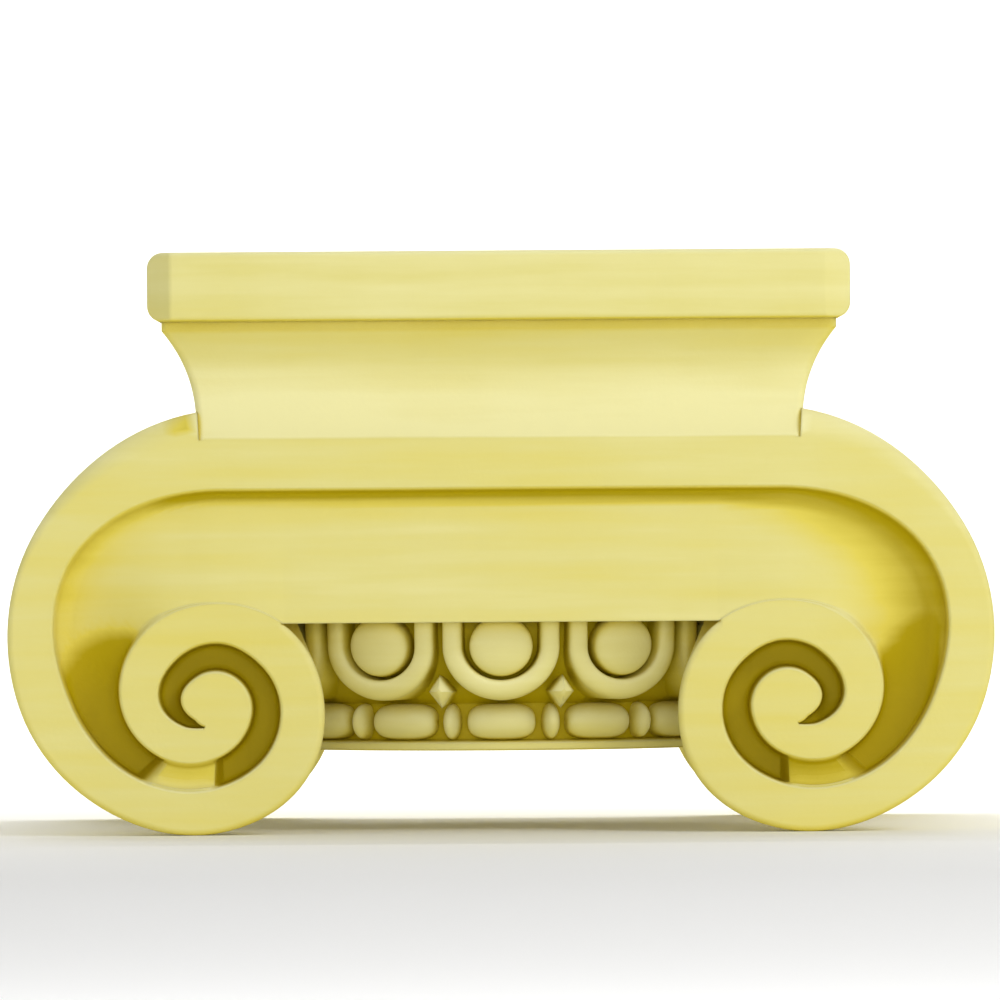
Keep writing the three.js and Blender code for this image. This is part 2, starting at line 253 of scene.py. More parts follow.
def loftParts(ringSets):
    # several closed shapes in one list of points and faces, each a row of rings capped at both ends
    points, faces = [], []
    for rings in ringSets:
        base, count = len(points), len(rings[0])
        for ring in rings:
            points.extend(ring)
        for r in range(len(rings) - 1):
            for i in range(count):
                a, b = base + r * count + i, base + r * count + (i + 1) % count
                faces.append((a, b, b + count, a + count))
        last = base + (len(rings) - 1) * count
        faces.append(tuple(range(base + count - 1, base - 1, -1)))
        faces.append(tuple(range(last, last + count)))
    return points, faces


def loftObject(name, ringSets):
    points, faces = loftParts(ringSets)
    return meshObject(name, points, faces)


def mirroredRings(rings):
    return [[(-x, y, z) for x, y, z in ring] for ring in rings]


def backRings(rings):
    return [[(-x, -y, z) for x, y, z in ring] for ring in rings]


def combine(target, other, operation):
    step = target.modifiers.new(other.name, "BOOLEAN")
    step.operation = operation
    step.solver = "MANIFOLD"
    step.object = other
    bpy.context.view_layer.update()
    evaluated = target.evaluated_get(bpy.context.evaluated_depsgraph_get())
    result = bpy.data.meshes.new_from_object(evaluated)
    target.modifiers.clear()
    old = target.data
    target.data = result
    bpy.data.meshes.remove(old)
    bpy.data.objects.remove(other)


# Volutes with the bolsters behind them

def bolsterSize(depth):
    free = volute["halfFace"] - volute["faceThickness"]
    share = min(abs(depth) / free, 1)
    return volute["pinch"] + (1 - volute["pinch"]) * share ** volute["pinchCurve"]


def bolsterRing(depth, edge, turns):
    size = bolsterSize(depth)
    anchorX, anchorZ = neck["waistWidth"] / 2, volute["height"]
    rounds = [(90, volute["shoulderRound"]), (150, volute["rimRound"]), (360, volute["rimRound"])]
    ring = []

    def place(x, z, y):
        ring.append((anchorX + (x - anchorX) * size, y, anchorZ + (z - anchorZ) * size))

    for turn in turns:
        soft = easedAt(rounds, turn)
        inset = soft * (1 - sinDeg(edge))
        back = min(soft, volute["deepestRound"]) * (1 - cosDeg(edge))
        x, z = volutePoint(turn, outerReach(turn) - inset)
        place(x, z, depth - math.copysign(back, depth))
    level = (levels["bandTop"] + levels["canalTop"]) / 2
    place(footInside, level, ring[0][1])
    place(anchorX - 1, level, ring[0][1])
    return ring


def bolsterRings():
    shoulderTurn = turnWhere(lambda x, z: x < neck["waistWidth"] / 2 - 0.4, 70.0, 130.0)
    turns = angleSteps(shoulderTurn, footTurn, volute["outlineStep"])
    edges = angleSteps(0, 90, 15)
    front = [bolsterRing(-volute["halfFace"], edge, turns) for edge in edges]
    back = [bolsterRing(volute["halfFace"], edge, turns) for edge in reversed(edges)]
    free = volute["halfFace"] - volute["faceThickness"]
    middle = []
    for i in range(25):
        depth = -free + 2 * free * i / 24
        ring = bolsterRing(math.copysign(free, depth), 90, turns)
        size, anchorX, anchorZ = bolsterSize(depth), neck["waistWidth"] / 2, volute["height"]
        middle.append([(anchorX + (x - anchorX) * size, depth, anchorZ + (z - anchorZ) * size)
                       for x, _, z in ring])
    return front + middle + back


def canalBarRings():
    half, shoulder = volute["halfFace"], neck["waistWidth"] / 2
    middle = (levels["canalTop"] + levels["canalFoot"]) / 2
    outline = [
        (-footInside, levels["canalFoot"]), (footInside, levels["canalFoot"]), (shoulder, middle),
        (shoulder, levels["bandTop"]), (-shoulder, levels["bandTop"]), (-shoulder, middle),
    ]
    return [[(x, y, z) for x, z in outline] for y in (-half, half)]


# Channel of the volutes and the straight canal, as one shape to cut away

def channelProfile(width, highDepth, lowDepth, cove):
    # distance from the high edge and depth below the face, from the high lip to the low one
    # the roundings give way where the channel is shallow or narrow
    lip = channel["lip"]
    lipHigh, lipLow = min(lip, highDepth * 0.5), min(lip, lowDepth * 0.5)
    draft = min(channel["draft"], width * 0.1)
    coveAcross = min(cove, (width - draft) * 0.42)
    coveDeep = min(cove, highDepth - lipHigh)
    roundLow = min(channel["floorRound"], lowDepth * 0.4, width * 0.3)
    points = [(-lipHigh * (1 - sinDeg(14)), -channel["clear"])]
    for angle in (14, 32, 50, 70, 90):
        points.append((-lipHigh * (1 - sinDeg(angle)), lipHigh * (1 - cosDeg(angle))))
    for angle in (0, 18, 36, 54, 72, 90):
        depth = highDepth - coveDeep * (1 - sinDeg(angle))
        points.append((draft + coveAcross * (1 - cosDeg(angle)), depth))
    start, end = draft + coveAcross, width - min(draft, lowDepth * 0.3) - roundLow
    hollow = min(channel["floorHollow"], (end - start) * 0.03)
    for t in (0.04, 0.09, 0.15, 0.22, 0.31, 0.42, 0.56, 0.76):
        depth = highDepth + (lowDepth - highDepth) * t + hollow * sinDeg(180 * t)
        points.append((start + (end - start) * t, depth))
    for angle in (90, 65, 35, 0):
        points.append((end + roundLow * cosDeg(angle), lowDepth - roundLow * (1 - sinDeg(angle))))
    for angle in (90, 60, 35, 14):
        points.append((width + lipLow * (1 - sinDeg(angle)), lipLow * (1 - cosDeg(angle))))
    points.append((width + lipLow * (1 - sinDeg(14)), -channel["clear"]))
    return points


def channelRing(high, low, highDepth, lowDepth, cove):
    dx, dz = low[0] - high[0], low[1] - high[1]
    width = math.hypot(dx, dz)
    ring = []
    for across, depth in channelProfile(width, highDepth, lowDepth, cove):
        ring.append((high[0] + dx * across / width, -volute["halfFace"] + depth,
                     high[1] + dz * across / width))
    return ring


def channelRings():
    rings = []
    for turn in reversed(angleSteps(90, channel["lastTurn"], channel["step"])):
        opened = min((channel["lastTurn"] - turn) / channel["taper"] + channel["point"], 1)
        closing = (1 - opened) / 2
        inner, outer = innerReach(turn), outerReach(turn + 360)
        high = volutePoint(turn, inner + (outer - inner) * closing)
        low = volutePoint(turn, outer + (inner - outer) * closing)
        wall, heel = easedAt(channel["wallDepth"], turn), easedAt(channel["heelDepth"], turn)
        rings.append(channelRing(high, low, wall, heel, easedAt(channel["wallCove"], turn)))
    wall, heel = channel["wallDepth"][0][1], channel["heelDepth"][0][1]
    for turn in reversed(angleSteps(footTurn, 450, channel["step"])[:-1]):
        x, z = volutePoint(turn, outerReach(turn))
        rings.append(channelRing((x, levels["canalTop"]), (x, z), wall, heel, channel["floorRound"]))
    x = footInside - 1
    foot = (x, levels["canalFoot"] - channel["footDrop"])
    rings.append(channelRing((x, levels["canalTop"]), foot, wall, heel, channel["floorRound"]))
    return rings + mirroredRings(rings)[::-1]


# Neck and abacus

def cantedOutline(halfX, halfY, cant, arris):
    corners = [
        (halfX - cant, -halfY), (halfX, -halfY + cant), (halfX, halfY - cant), (halfX - cant, halfY),
        (-halfX + cant, halfY), (-halfX, halfY - cant), (-halfX, -halfY + cant), (-halfX + cant, -halfY),
    ]
    outline = []
    for i, corner in enumerate(corners):
        here = Vector(corner)
        before, after = Vector(corners[i - 1]), Vector(corners[(i + 1) % 8])
        reachBack = min(arris, (before - here).length * 0.4)
        reachOn = min(arris, (after - here).length * 0.4)
        a = here + (before - here).normalized() * reachBack
        b = here + (after - here).normalized() * reachOn
        for t in (0, 0.33, 0.67, 1):
            point = a * (1 - t) ** 2 + here * 2 * t * (1 - t) + b * t * t
            outline.append((point.x, point.y))
    return outline


def neckRings():
    waist, throat, top = neck["waistWidth"] / 2, neck["waistDepth"] / 2, neck["topDepth"] / 2
    halfAbacus = neck["abacusWidth"] / 2
    shoulder = halfAbacus - neck["quirkInset"]
    neckHeight = levels["neckTop"] - levels["bandTop"]
    tuck = neck["tuck"]
    rows = [(waist - tuck, volute["halfFace"] - tuck, neck["cant"], levels["bandTop"] - 2 * tuck)]
    for i in range(33):
        up = i / 32
        down = 1 - up
        rise = max(neck["throatShare"] - down, 0) / neck["throatShare"]
        flare = max(down - neck["throatShare"], 0) / (1 - neck["throatShare"])
        halfX = waist + (shoulder - waist) * up ** neck["sideCurve"]
        halfY = throat + (top - throat) * rise ** neck["topCurve"]
        halfY += (volute["halfFace"] - throat) * flare ** neck["footCurve"]
        rows.append((halfX, halfY, neck["cant"], levels["bandTop"] + neckHeight * up))
    cant, arris, endRound = neck["abacusCant"], neck["arris"], neck["endRound"]
    rows.append((shoulder, top, neck["cant"], levels["abacusFoot"]))
    edge = []
    for angle in angleSteps(0, 90, 10):
        up = endRound * (1 - cosDeg(angle))
        front = arris - math.sqrt(max(up * (2 * arris - up), 0)) if up < arris else 0
        inset = endRound * (1 - sinDeg(angle))
        edge.append((halfAbacus - inset, halfAbacus - front, cant - inset, up))
    foot, head = levels["abacusFoot"], levels["abacusTop"]
    rows += [(halfX, halfY, corner, foot + up) for halfX, halfY, corner, up in edge]
    rows += [(halfX, halfY, corner, head - up) for halfX, halfY, corner, up in reversed(edge)]
    return [[(x, y, z) for x, y in cantedOutline(halfX, halfY, corner, neck["upright"])]
            for halfX, halfY, corner, z in rows]


# Echinus and astragal

def fallenAt(z):
    # share of the fall at a height, along a quarter round from the top of the echinus to its foot
    height = levels["canalFoot"] - levels["echinusFoot"]
    down = min(max((levels["canalFoot"] - z) / height, 0), 1)
    curl = echinus["curl"]
    return (1 - math.sqrt(1 - (curl * down) ** 2)) / (1 - math.sqrt(1 - curl ** 2))


coreRadius = astragal["radius"] - astragal["thickness"] * astragal["coreShare"]
groundRadius = echinus["radius"] - echinus["relief"]


def groundAt(z):
    return groundRadius - (groundRadius - coreRadius) * fallenAt(z)


def carvedFaceAt(z):
    return echinus["radius"] - echinus["fall"] * fallenAt(z)


def turnedCoreRings():
    fillet, soft = astragal["radius"] - astragal["filletInset"], astragal["filletRound"]
    seat, foot, top = levels["seat"], levels["echinusFoot"], levels["canalFoot"]
    filletTop = seat + astragal["fillet"]
    rows = [
        (fillet - soft, seat), (fillet, seat + soft), (fillet, filletTop - soft),
        (fillet - soft, filletTop), (coreRadius, filletTop + 1), (coreRadius, foot),
    ]
    heights = [foot + (top - foot) * i / 14 for i in range(1, 15)]
    rows += [(groundAt(z), z) for z in heights]
    rows.append((groundAt(top), top + 8))
    count = echinus["units"] * 12
    return [[(r * cosDeg(360 * i / count), r * sinDeg(360 * i / count), z) for i in range(count)]
            for r, z in rows]


def roundEchinus(angle, across, z, radius):
    bearing = math.radians(angle - 90) + across / echinus["radius"]
    return radius * math.cos(bearing), radius * math.sin(bearing), z


sunkRadius = coreRadius - echinus["rooted"]
carvingCentre = levels["echinusFoot"] + echinus["shellRise"] + echinus["shell"][1] / 2
unitAngles = [i * 360 / echinus["units"] for i in range(echinus["units"])]
betweenAngles = [angle + 180 / echinus["units"] for angle in unitAngles]


def showsBetweenBolsters(angle):
    return abs(cosDeg(angle)) > echinus["carvedWithin"]


def eggRings(angle):
    # steep-sided boss with a gently domed face
    width, height = echinus["egg"]
    rings = []
    for share, lift in echinus["eggDome"]:
        ring = []
        for a in range(0, 360, 8):
            z = carvingCentre + height / 2 * share * sinDeg(a)
            radius = sunkRadius if lift is None else carvedFaceAt(z) - echinus["relief"] * (1 - lift)
            ring.append(roundEchinus(angle, width / 2 * share * cosDeg(a), z, radius))
        rings.append(ring)
    return rings


def shellRings(angle):
    # half round below, straight up into the foot of the canal above
    width, height = echinus["shell"]
    topLift = levels["canalFoot"] + 2 - carvingCentre
    stations = [(0, topLift)] + [(turn, 0) for turn in angleSteps(0, 180, 4)] + [(180, topLift)]
    rings = []
    for turn, lift in stations:
        ring = []
        for inward, setback in echinus["shellSection"]:
            reach = echinus["shellBand"] * inward
            z = carvingCentre - (height / 2 - reach) * sinDeg(turn) + lift
            crest = carvedFaceAt(z) - echinus["shellSetback"]
            radius = sunkRadius if setback is None else crest - setback
            ring.append(roundEchinus(angle, (width / 2 - reach) * cosDeg(turn), z, radius))
        rings.append(ring)
    return rings


def dartRings(angle):
    width, height = echinus["dart"]
    middle = levels["echinusFoot"] + height / 2 - echinus["dartSink"]
    rings = []
    for share, setback in echinus["dartSteps"]:
        ring = []
        for x, up in echinus["dartOutline"]:
            z = middle + height / 2 * share * up
            crest = carvedFaceAt(z) - echinus["dartSetback"]
            radius = sunkRadius if setback is None else crest - setback
            ring.append(roundEchinus(angle, width / 2 * share * x, z, radius))
        rings.append(ring)
    return rings


def beadRings(angle, length, blunt):
    rings = []
    middle = levels["echinusFoot"] - astragal["thickness"] / 2
    radius = astragal["radius"] - astragal["thickness"] / 2
    for step in range(-8, 9):
        place = sinDeg(step * 90 / 8) * 0.995
        thick = astragal["thickness"] / 2 * max(1 - abs(place) ** blunt, 0) ** (1 / blunt)
        bearing = math.radians(angle - 90) + length * place / 2 / astragal["radius"]
        ring = []
        for a in range(0, 360, 15):
            r, z = radius + thick * cosDeg(a), middle + thick * sinDeg(a)
            ring.append((r * math.cos(bearing), r * math.sin(bearing), z))
        rings.append(ring)
    return rings


def inSlot(shape, slot):
    # faces made by this shape carry a slot of their own, so that they can be found after the joining
    for _ in range(4):
        shape.data.materials.append(None)
    for face in shape.data.polygons:
        face.material_index = slot
    return shape


# Painted light and shade, where the cast is drawn darker or lighter than its own tone

# Amounts of painted shade, darker, and where negative of painted light, lighter; in brackets, where they
# ease in or out: by degrees of the turn, by height, by distance or by depth below the face.
shadingAmounts = {
    # painted shade in the channel and its groove
    "channel": 0.72,
    # painted shade on the turned core between the carvings
    "ground": 0.5,
    "raisedPaintedLight": -0.18,            # painted light that lifts the raised carving where the volutes shade it
    # painted shadow in the quirk under the abacus
    "quirkShadow": 0.2,
    "neck": -0.16,              # painted light where the neck turns up to the light
    "neckHeights": (222, 252),
    "shoulder": 0.42,           # painted shadow of the neck, on the left beside its foot
    "shoulderPlace": (160, 174),
    "shoulderSides": (156, 176),
    "shoulderFoot": 203,
    "shoulderBehind": 90,       # only this far from the middle of the depth
    "volutesDepth": (8, 15),
    "canalDepth": (14, 21),
    "rimDepth": (1.2, 3),
    # painted shadow of the right-hand outer wall on the channel floor
    "rightRimWidth": (8, 22),   # in the canal and in the bend
    "rightRimSpread": (55, 128),
    "rightRimFade": (70, 120),
    "rightWallShade": 0.4,
    "rightWallShadeSpread": (60, 110),
    # on the left, painted shade in the deep part and a painted shade line under the lip
    "leftDepth": (6, 12),
    "leftStart": (168, 140),    # along the outer wall and along the inner one
    "leftRimWidth": 7.5,
    "leftRimFade": (94, 118),
    "leftWallShade": 0.12,
    "leftWallShadeReach": (4, 24),
    # painted shade on the shallow saddle
    "saddleShade": 0.2,
    "saddleTurn": 248,
    "saddleReach": (22, 30),
    "saddleDepth": (1, 4),
}


def ease(value, low, high):
    t = min(max((value - low) / (high - low), 0), 1)
    return t * t * (3 - 2 * t)


def channelGlaze(x, z, depth):
    # painted shade in the channel, darker where deeper, with a painted shadow along the right-hand wall
    # and a painted shade line under the left-hand lip
    # x counts to the right as seen by whoever faces the volutes
    across, up = abs(x) - eyeOffset, z - eyeHeight
    reach = math.hypot(across, up)
    turn = (90 + math.degrees(math.atan2(across, up))) % 360
    overCanal = across < 0 and z > levels["canalFoot"] - 6 and reach > outerReach(turn + 360) - 2
    if not overCanal and (turn < 90 or reach < outerReach(turn + 360) - 2):
        return shadingAmounts["channel"] * ease(depth, *shadingAmounts["volutesDepth"])
    below = levels["canalTop"] - z if overCanal else innerReach(turn) - reach
    # right: painted cast shadow of the outer wall, widening as the canal turns down
    if x > 0:
        shadedPart = shadingAmounts["channel"] * ease(depth, *shadingAmounts["canalDepth"])
        along = turn if not overCanal else 90 + across * 0.6
        narrow, broad = shadingAmounts["rightRimWidth"]
        wide = narrow + (broad - narrow) * ease(along, *shadingAmounts["rightRimSpread"])
        line = shadingAmounts["channel"] * (0.9 - 0.2 * ease(along, *shadingAmounts["rightRimFade"]))
        wallShade = shadingAmounts["rightWallShade"] * ease(along, *shadingAmounts["rightWallShadeSpread"])
        wallShade *= 1 - ease(below, wide * 0.5, wide * 2.2)
    # left: painted shade in the deep part and a thin painted shade line under the lip
    else:
        share = min(below / max(innerReach(turn) - outerReach(turn + 360), 1), 1)
        outside, inside = shadingAmounts["leftStart"]
        start = outside + (inside - outside) * share
        shadedPart = shadingAmounts["channel"] * ease(depth, *shadingAmounts["leftDepth"]) * ease(turn, start - 7, start + 9)
        shadedPart *= 0 if overCanal else 1
        wide = shadingAmounts["leftRimWidth"]
        line = shadingAmounts["channel"] * 0.9 * (1 - ease(0 if overCanal else turn, *shadingAmounts["leftRimFade"]))
        wallShade = shadingAmounts["leftWallShade"] * (1 - ease(below, *shadingAmounts["leftWallShadeReach"]))
    rim = max(line * (1 - ease(below, wide * 0.45, wide * 1.1)), wallShade) * ease(depth, *shadingAmounts["rimDepth"])
    # lighter painted shade on the saddle
    nearSaddle = 0 if overCanal else 1 - ease(abs(turn - shadingAmounts["saddleTurn"]), *shadingAmounts["saddleReach"])
    saddleShade = shadingAmounts["saddleShade"] * nearSaddle * ease(depth, *shadingAmounts["saddleDepth"])
    return max(shadedPart, rim, saddleShade)


def markGlaze(cast):
    # painted light and shade on the points, by slot: plain faces, channel, raised carving, turned core
    markedShade = cast.data.attributes.new("settledGlaze", "FLOAT", "POINT")
    neckTop, bandTop, voluteTop = levels["neckTop"], levels["bandTop"], volute["height"]
    near, far = shadingAmounts["shoulderSides"]
    slots = [set() for _ in range(4)]
    for face in cast.data.polygons:
        slots[face.material_index].update(face.vertices)
    for v in slots[0]:
        x, y, z = cast.data.vertices[v].co * 1000
        side, beside = x if y < 0 else -x, abs(y) > shadingAmounts["shoulderBehind"]
        # painted shadow of the neck on the left shoulder
        if -far < side < -near and shadingAmounts["shoulderFoot"] < z < voluteTop and beside:
            markedShade.data[v].value = shadingAmounts["shoulder"] * (1 - ease(-side, *shadingAmounts["shoulderPlace"]))
        # painted shadow in the quirk under the abacus
        if neckTop - 1 < z < levels["abacusFoot"] + 0.5:
            markedShade.data[v].value = shadingAmounts["quirkShadow"]
        # painted light on the neck's lower flare
        elif bandTop + 1 < z < neckTop and (abs(x) < near or z > voluteTop + 1.5):
            markedShade.data[v].value = shadingAmounts["neck"] * (1 - ease(z, *shadingAmounts["neckHeights"]))
    # painted light on the raised carving
    for v in slots[2]:
        markedShade.data[v].value = shadingAmounts["raisedPaintedLight"]
    # painted shade on the turned core
    for v in slots[3]:
        if cast.data.vertices[v].co.z * 1000 > levels["seat"] + astragal["fillet"] + 0.5:
            markedShade.data[v].value = shadingAmounts["ground"]
    # painted shade in the channel
    for v in slots[1]:
        x, y, z = cast.data.vertices[v].co * 1000
        markedShade.data[v].value = channelGlaze(x if y < 0 else -x, z, volute["halfFace"] - abs(y))
    print("glaze placed on", len(markedShade.data), "points")


def castCapital():
    right = bolsterRings()
    cast = loftObject("capitalCast", [right])
    combine(cast, loftObject("leftBolster", [mirroredRings(right)]), "UNION")
    combine(cast, loftObject("canalBar", [canalBarRings()]), "UNION")
    cut = channelRings()
    inSlot(cast, 0)
    combine(cast, inSlot(loftObject("frontChannel", [cut]), 1), "DIFFERENCE")
    combine(cast, inSlot(loftObject("backChannel", [backRings(cut)]), 1), "DIFFERENCE")
    print("volutes and canal cut:", len(cast.data.polygons), "faces")
    combine(cast, loftObject("neck", [neckRings()]), "UNION")
    combine(cast, inSlot(loftObject("core", [turnedCoreRings()]), 3), "UNION")
    carved = [angle for angle in unitAngles if showsBetweenBolsters(angle)]
    between = [angle for angle in betweenAngles if abs(cosDeg(angle)) > echinus["dartsWithin"]]
    longSize = astragal["longBead"], astragal["longBlunt"]
    smallSize = astragal["smallBead"], astragal["smallBlunt"]
    for name, ringSets in (
        ("eggs", [eggRings(angle) for angle in carved]),
        ("shells", [shellRings(angle) for angle in carved]),
        ("darts", [dartRings(angle) for angle in between]),
        ("longBeads", [beadRings(angle, *longSize) for angle in unitAngles]),
        ("smallBeads", [beadRings(angle, *smallSize) for angle in betweenAngles]),
    ):
        combine(cast, inSlot(loftObject(name, ringSets), 2), "UNION")
    print("echinus and astragal carved:", len(cast.data.polygons), "faces")
    return cast


def settleNormals(cast):
    shape = bmesh.new()
    shape.from_mesh(cast.data)
    bmesh.ops.dissolve_degenerate(shape, dist=2e-6, edges=shape.edges)
    shape.to_mesh(cast.data)
    shape.free()
    for face in cast.data.polygons:
        face.use_smooth = True
    cast.data.set_sharp_from_angle(angle=math.radians(38))
    weighted = cast.modifiers.new("flatFaces", "WEIGHTED_NORMAL")
    weighted.keep_sharp = True
    weighted.weight = 80


capitalCast = castCapital()
markGlaze(capitalCast)
settleNormals(capitalCast)
print("capital cast")


# Materials

plaster = {
    "pale": (0.89, 0.845, 0.43, 1),      # painted light on the neck and the raised carving, and paler edges
    "cream": (0.785, 0.715, 0.255, 1),
    "ochre": (0.77, 0.65, 0.10, 1),
    "deepShade": (0.485, 0.37, 0.0012, 1),    # painted shade in the recesses
    "toneStops": {"pale": 0.0, "cream": 0.25, "ochre": 0.52, "deepShade": 0.95},
    "everywhere": 0.29,                  # base amount on every face, the cast's own tone
    "mottle": 0.3,
    "edgeWearAndHighlight": -0.3,                      # paler along edges: wear, and a painted highlight on the rounded arrises
    "roughness": 0.71,
    "toneShine": -0.12,                 # change of roughness with the tone amount
    "gloss": 0.14,
    "edgeRadius": 0.0014,
    "bumpStrength": 0.5,
    "bumpHeight": 0.0006,                # metres, as is the radius
    # painted shading: reach in metres, the others are weights
    "shadingWeights": {
        "Reach": 0.018, "Hollow Shade Weight": 0.5, "Marked Shade Weight": 1.0, "Slope Shading Weight": 0.27,
        "Patchiness": 0.22, "Top Paling": 0.12,
    },
    "hollowRange": (0.72, 0.2),          # openness where the painted shade starts and where it is full
    "patchScale": 9.0,
    "palingHeights": (0.17, 0.3),          # metres; the cast is drawn lighter towards the top
    "casting": {"Grain Scale": 420.0, "Streak Scale": 60.0},
    "streakStretch": (0.12, 0.12, 1.6),
    "streakShare": 0.6,
    "grainShare": 0.4,
}


def groupWith(name, inputs, outputs):
    group = bpy.data.node_groups.new(name, "ShaderNodeTree")
    for label, value in inputs.items():
        socket = group.interface.new_socket(label, in_out="INPUT", socket_type="NodeSocketFloat")
        socket.default_value = value
    for label in outputs:
        group.interface.new_socket(label, in_out="OUTPUT", socket_type="NodeSocketFloat")
    return group, group.nodes.new("NodeGroupInput"), group.nodes.new("NodeGroupOutput")


def mathNode(nodes, links, operation, a, b=None, clamp=False):
    node = nodes.new("ShaderNodeMath")
    node.operation = operation
    node.use_clamp = clamp
    for socket, value in ((node.inputs[0], a), (node.inputs[1], b)):
        if value is None:
            continue
        if isinstance(value, (int, float)):
            socket.default_value = value
        else:
            links.new(value, socket)
    return node.outputs[0]


def settledGlazeGroup():
    # painted shading at a place: painted shade in hollows and on faces turned down, painted light on
    # faces turned up, where the mesh marks it, random patches of tone, lighter towards the top
    group, start, end = groupWith("settledGlaze", plaster["shadingWeights"], ["Glaze"])
    nodes, links = group.nodes, group.links
    # painted shade in hollows, from ambient occlusion
    hollow = nodes.new("ShaderNodeAmbientOcclusion")
    hollow.samples = 4
    hollow.only_local = True
    links.new(start.outputs["Reach"], hollow.inputs["Distance"])
    closed = nodes.new("ShaderNodeMapRange")
    closed.interpolation_type = "SMOOTHSTEP"
    closed.inputs["From Min"].default_value = plaster["hollowRange"][0]
    closed.inputs["From Max"].default_value = plaster["hollowRange"][1]
    links.new(hollow.outputs["AO"], closed.inputs["Value"])
    deepShade = mathNode(nodes, links, "MULTIPLY", closed.outputs["Result"], start.outputs["Hollow Shade Weight"])
    # painted light and shade marked on the mesh
    shadeMarkNode = nodes.new("ShaderNodeAttribute")
    shadeMarkNode.attribute_name = "settledGlaze"
    markedShade, weight = shadeMarkNode.outputs["Fac"], start.outputs["Marked Shade Weight"]
    shadedPart = mathNode(nodes, links, "MULTIPLY", markedShade, weight)
    # painted shade on faces turned down, painted light on faces turned up
    geometry = nodes.new("ShaderNodeNewGeometry")
    split = nodes.new("ShaderNodeSeparateXYZ")
    links.new(geometry.outputs["Normal"], split.inputs[0])
    down = mathNode(nodes, links, "MULTIPLY", split.outputs["Z"], -1.0)
    slope = mathNode(nodes, links, "MULTIPLY", down, start.outputs["Slope Shading Weight"])
    place = nodes.new("ShaderNodeTexCoord")
    patches = nodes.new("ShaderNodeTexNoise")
    patches.inputs["Scale"].default_value = plaster["patchScale"]
    patches.inputs["Detail"].default_value = 5.0
    links.new(place.outputs["Object"], patches.inputs["Vector"])
    spread = mathNode(nodes, links, "SUBTRACT", patches.outputs["Fac"], 0.5)
    total = mathNode(nodes, links, "MULTIPLY", spread, start.outputs["Patchiness"])
    # lighter towards the top
    height = nodes.new("ShaderNodeSeparateXYZ")
    links.new(place.outputs["Object"], height.inputs[0])
    upper = nodes.new("ShaderNodeMapRange")
    upper.inputs["From Min"].default_value = plaster["palingHeights"][0]
    upper.inputs["From Max"].default_value = plaster["palingHeights"][1]
    upper.inputs["To Max"].default_value = -1.0
    links.new(height.outputs["Z"], upper.inputs["Value"])
    paling = mathNode(nodes, links, "MULTIPLY", upper.outputs["Result"], start.outputs["Top Paling"])
    for part in (deepShade, shadedPart, slope, paling):
        total = mathNode(nodes, links, "ADD", total, part)
    links.new(total, end.inputs["Glaze"])
    return group


def castSurfaceGroup():
    # fine grain of the cast with faint level streaks left by the running mould
    group, start, end = groupWith("castSurface", plaster["casting"], ["Height", "Mottle"])
    nodes, links = group.nodes, group.links
    place = nodes.new("ShaderNodeTexCoord")
    stretch = nodes.new("ShaderNodeMapping")
    stretch.inputs["Scale"].default_value = plaster["streakStretch"]
    links.new(place.outputs["Object"], stretch.inputs["Vector"])
    streaks = nodes.new("ShaderNodeTexNoise")
    streaks.inputs["Detail"].default_value = 4.0
    links.new(stretch.outputs["Vector"], streaks.inputs["Vector"])
    links.new(start.outputs["Streak Scale"], streaks.inputs["Scale"])
    grain = nodes.new("ShaderNodeTexNoise")
    grain.inputs["Detail"].default_value = 6.0
    links.new(place.outputs["Object"], grain.inputs["Vector"])
    links.new(start.outputs["Grain Scale"], grain.inputs["Scale"])
    streakPart = mathNode(nodes, links, "MULTIPLY", streaks.outputs["Fac"], plaster["streakShare"])
    grainPart = mathNode(nodes, links, "MULTIPLY", grain.outputs["Fac"], plaster["grainShare"])
    total = mathNode(nodes, links, "ADD", streakPart, grainPart)
    links.new(total, end.inputs["Height"])
    links.new(streaks.outputs["Fac"], end.inputs["Mottle"])
    return group


